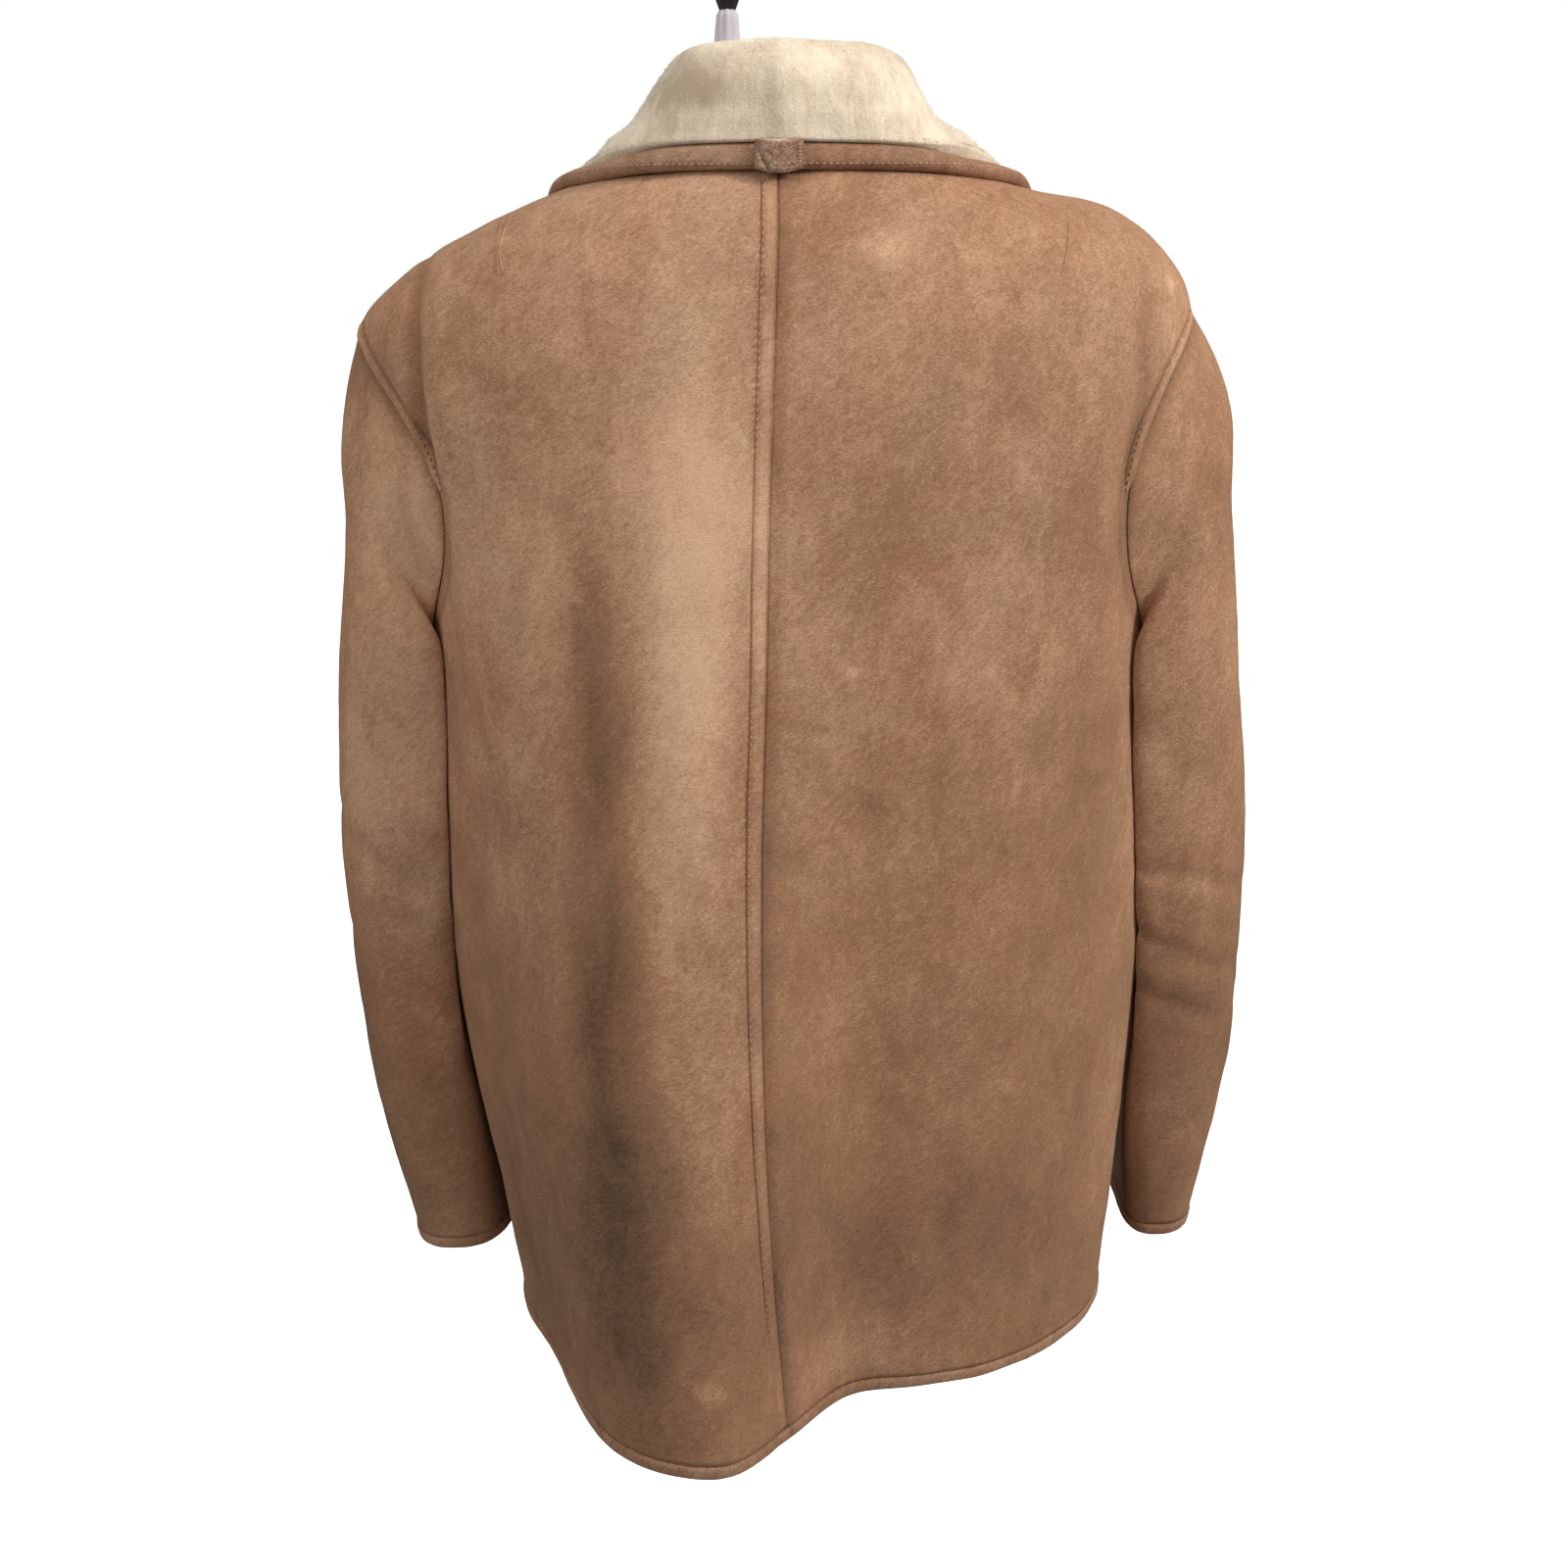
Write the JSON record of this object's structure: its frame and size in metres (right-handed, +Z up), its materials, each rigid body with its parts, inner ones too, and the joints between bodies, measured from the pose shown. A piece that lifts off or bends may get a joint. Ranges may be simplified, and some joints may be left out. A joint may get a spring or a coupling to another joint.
{
  "type": "shearling coat on a padded hanger",
  "caption": "Hip-length shearling coat with a wool-faced shawl collar, hanging filled out and hollow from a padded hanger by its hook.",
  "frame": {"origin": "inside of the hanger's hook at its top, where a rail carries it", "axes": "+Z up, the coat's front faces -Y, the wearer's left is +X"},
  "size_m": [0.596, 0.3775, 0.9124],
  "materials": {
    "suede": "matte napped suede, mottled and worn",
    "suede_binding": "matte rolled suede edge",
    "wool": "clipped sheep's wool, cream",
    "horn": "brown horn, softly polished",
    "hanger_cloth": "pale woven cloth over padding",
    "black_metal": "black, smooth"
  },
  "bodies": {
    "root": {"back_left": "suede", "back_right": "suede", "front_left": "suede", "front_right": "suede", "sleeve_upper_left": "suede", "sleeve_under_left": "suede", "sleeve_upper_right": "suede", "sleeve_under_right": "suede", "back_seam": "suede", "armhole_seam_left": "suede", "armhole_seam_right": "suede", "hem_binding_back_left": "suede_binding", "hem_binding_back_right": "suede_binding", "hem_binding_front_left": "suede_binding", "hem_binding_front_right": "suede_binding", "cuff_binding_left": "suede_binding", "cuff_binding_right": "suede_binding", "collar_binding_left": "suede_binding", "collar_binding_right": "suede_binding", "hanging_loop": "suede_binding", "collar_left": "wool", "collar_right": "wool", "button_1": "horn", "button_2": "horn", "button_3": "horn", "button_4": "horn", "hanger_bar": "hanger_cloth", "hanger_neck": "hanger_cloth", "hanger_hook": "black_metal"}
  },
  "joints": []
}
